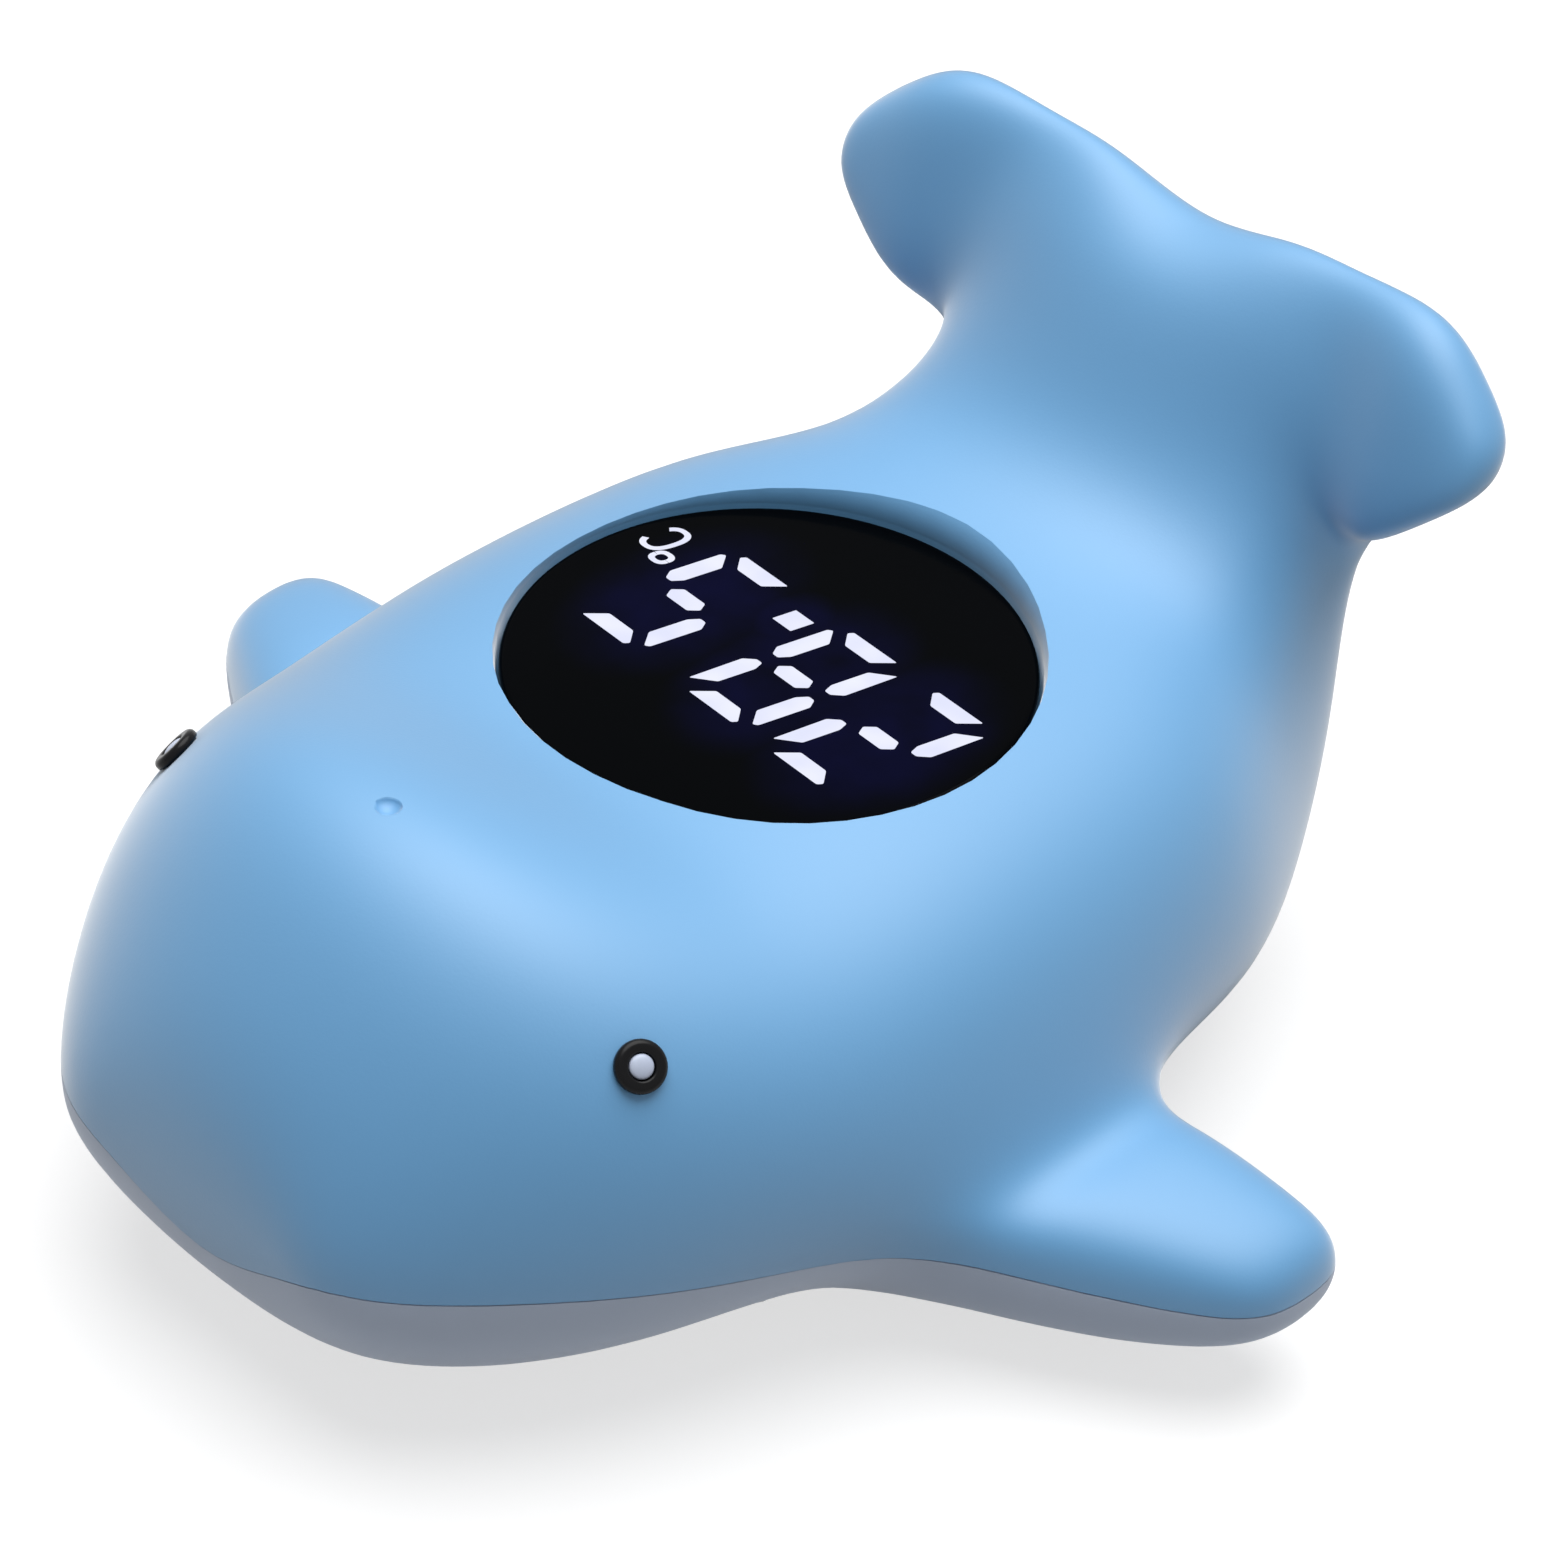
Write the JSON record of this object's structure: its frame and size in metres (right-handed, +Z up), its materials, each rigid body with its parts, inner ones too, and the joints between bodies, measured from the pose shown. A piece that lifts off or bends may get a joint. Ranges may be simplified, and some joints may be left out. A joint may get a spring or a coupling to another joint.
{
  "type": "bath thermometer",
  "caption": "Floating baby bath thermometer shaped as a whale, with a round display window on its back, side fins, raised flukes and a metal sensor under its belly.",
  "frame": {"origin": "centre of the flat rest face under the belly, below the middle of the window", "axes": "+Z up, -Y towards the snout, +Y towards the tail, +X to the whale's left fin"},
  "size_m": [0.1064, 0.1004, 0.0546],
  "materials": {
    "soft_blue_plastic": "soft matte, light blue",
    "pale_grey_plastic": "soft matte, pale grey",
    "smoked_window": "polished, smoked",
    "silicone_rubber": "plain",
    "circuit_board": "solder mask",
    "black_plastic": "gloss",
    "white_plastic": "plain",
    "stainless_steel": "satin",
    "nickel_plate": "plated",
    "cell_jacket": "printed jacket",
    "red_insulation": "plain"
  },
  "bodies": {
    "root": {"upper_shell": "soft_blue_plastic", "lower_shell": "pale_grey_plastic", "battery_cover": "pale_grey_plastic", "display_window": "smoked_window", "window_gasket": "silicone_rubber", "battery_seal": "silicone_rubber", "led_display": "white_plastic", "display_board": "circuit_board", "control_chip": "black_plastic", "sensor_socket": "white_plastic", "battery_socket": "white_plastic", "left_eye": "black_plastic", "right_eye": "black_plastic", "left_pupil": "white_plastic", "right_pupil": "white_plastic", "battery_left": "cell_jacket", "battery_right": "cell_jacket", "contact_bridge": "nickel_plate", "positive_plate": "nickel_plate", "negative_plate": "nickel_plate", "bridge_spring": "nickel_plate", "negative_spring": "nickel_plate", "cover_screw": "stainless_steel", "sensor_cap": "stainless_steel", "thermistor": "black_plastic", "water_contact_left": "stainless_steel", "water_contact_right": "stainless_steel", "sensor_lead": "white_plastic", "positive_lead": "red_insulation", "negative_lead": "silicone_rubber", "case_screw_1": "stainless_steel", "board_screw_1": "stainless_steel", "case_screw_2": "stainless_steel", "board_screw_2": "stainless_steel", "case_screw_3": "stainless_steel", "board_screw_3": "stainless_steel", "case_screw_4": "stainless_steel", "board_screw_4": "stainless_steel"}
  },
  "joints": []
}
